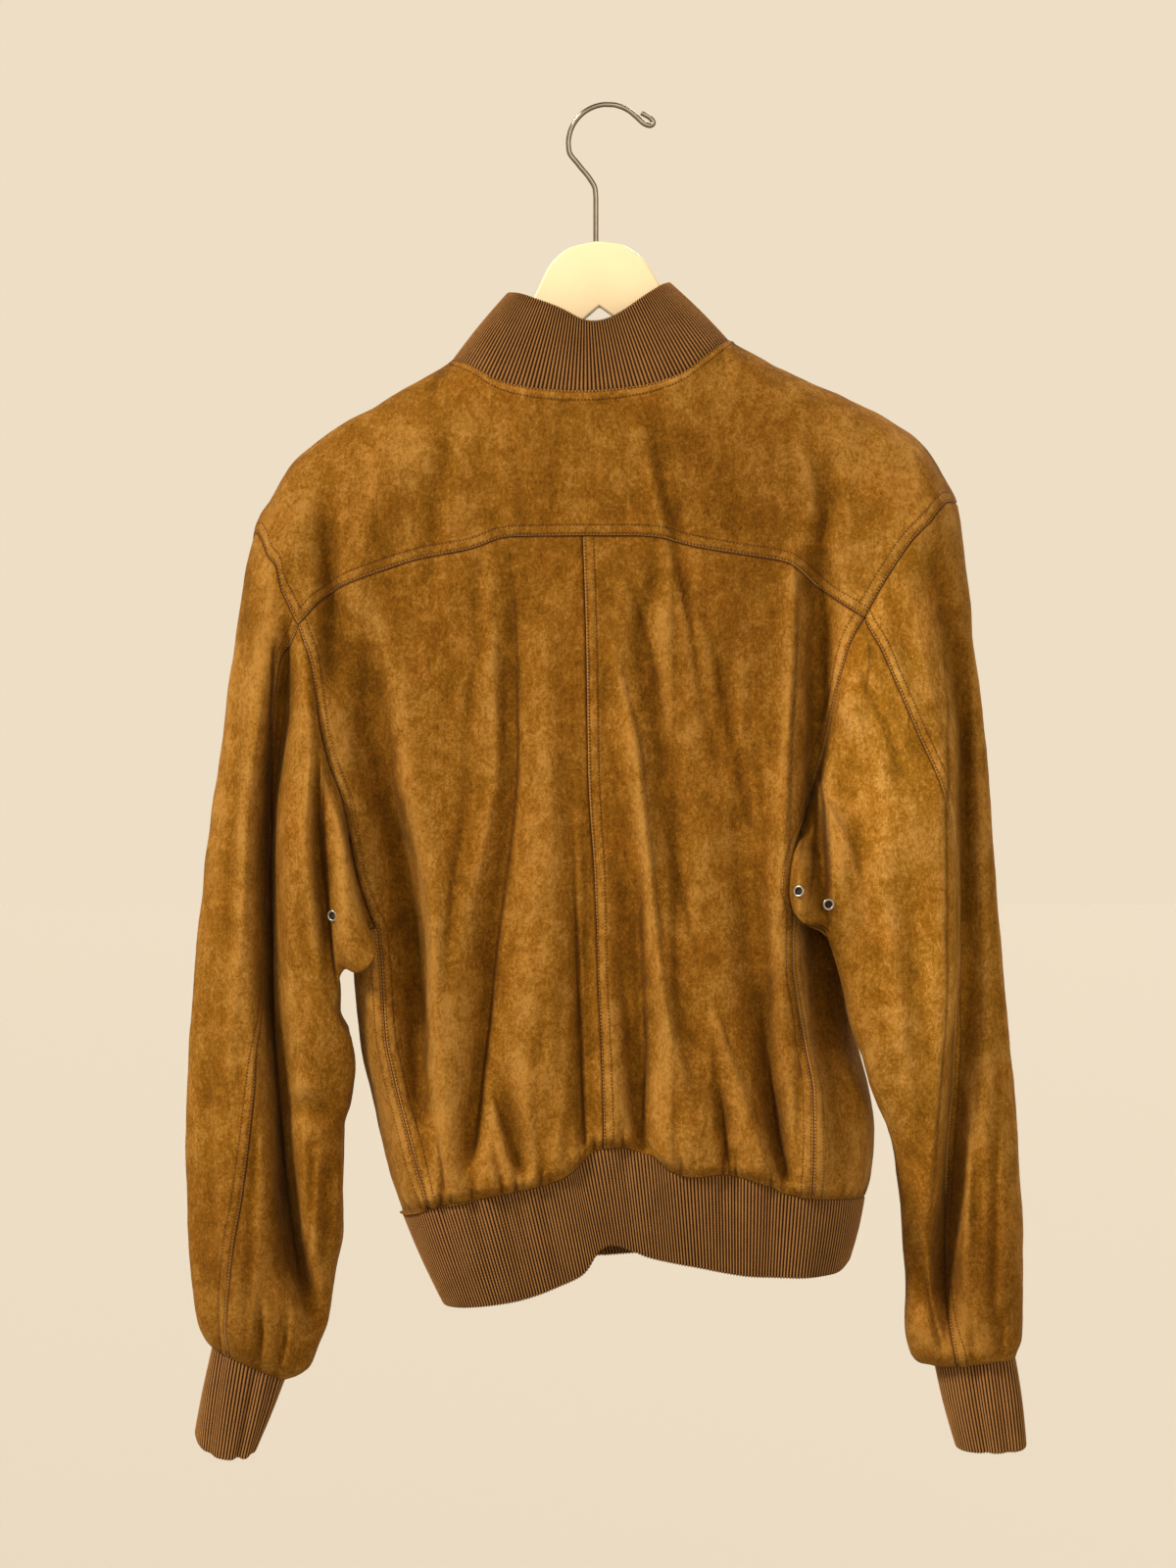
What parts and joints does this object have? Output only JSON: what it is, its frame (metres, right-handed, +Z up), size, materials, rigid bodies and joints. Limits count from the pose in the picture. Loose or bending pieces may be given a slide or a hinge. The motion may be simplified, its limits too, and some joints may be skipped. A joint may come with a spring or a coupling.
{
  "type": "suede jacket on a hanger",
  "caption": "Short suede jacket with knitted rib collar, cuffs and waistband, buttoned front and underarm eyelets, hanging on a flat hanger with a wire hook.",
  "frame": {"origin": "the point of the hook's bend that rests on the rod", "axes": "+Z up along the hanging jacket, +X to the wearer's right, +Y to the jacket's front; the back, at -Y, faces the viewer"},
  "size_m": [0.5713, 0.153, 0.9214],
  "materials": {
    "suede_back": "suede nap",
    "suede_front": "suede nap",
    "suede_sleeve": "suede nap",
    "rib_knit_collar": "knitted 1x1 rib",
    "rib_knit_waistband": "knitted 1x1 rib",
    "rib_knit_cuff": "knitted 1x1 rib",
    "button_horn": "satin",
    "eyelet_metal": "aged nickel plate",
    "hanger_paint": "painted cream",
    "hook_chrome": "polished"
  },
  "bodies": {
    "root": {"back_left": "suede_back", "back_right": "suede_back", "back_yoke": "suede_back", "button_1": "button_horn", "button_2": "button_horn", "button_3": "button_horn", "button_4": "button_horn", "button_5": "button_horn", "button_6": "button_horn", "button_7": "button_horn", "collar_rib": "rib_knit_collar", "cuff_left_rib": "rib_knit_cuff", "cuff_right_rib": "rib_knit_cuff", "eyelet_left_1": "eyelet_metal", "eyelet_left_2": "eyelet_metal", "eyelet_right_1": "eyelet_metal", "eyelet_right_2": "eyelet_metal", "front_left": "suede_front", "front_right": "suede_front", "hanger_body": "hanger_paint", "hanger_hook": "hook_chrome", "sleeve_left_outer": "suede_sleeve", "sleeve_left_under": "suede_sleeve", "sleeve_right_outer": "suede_sleeve", "sleeve_right_under": "suede_sleeve", "waistband_rib": "rib_knit_waistband"}
  },
  "joints": []
}
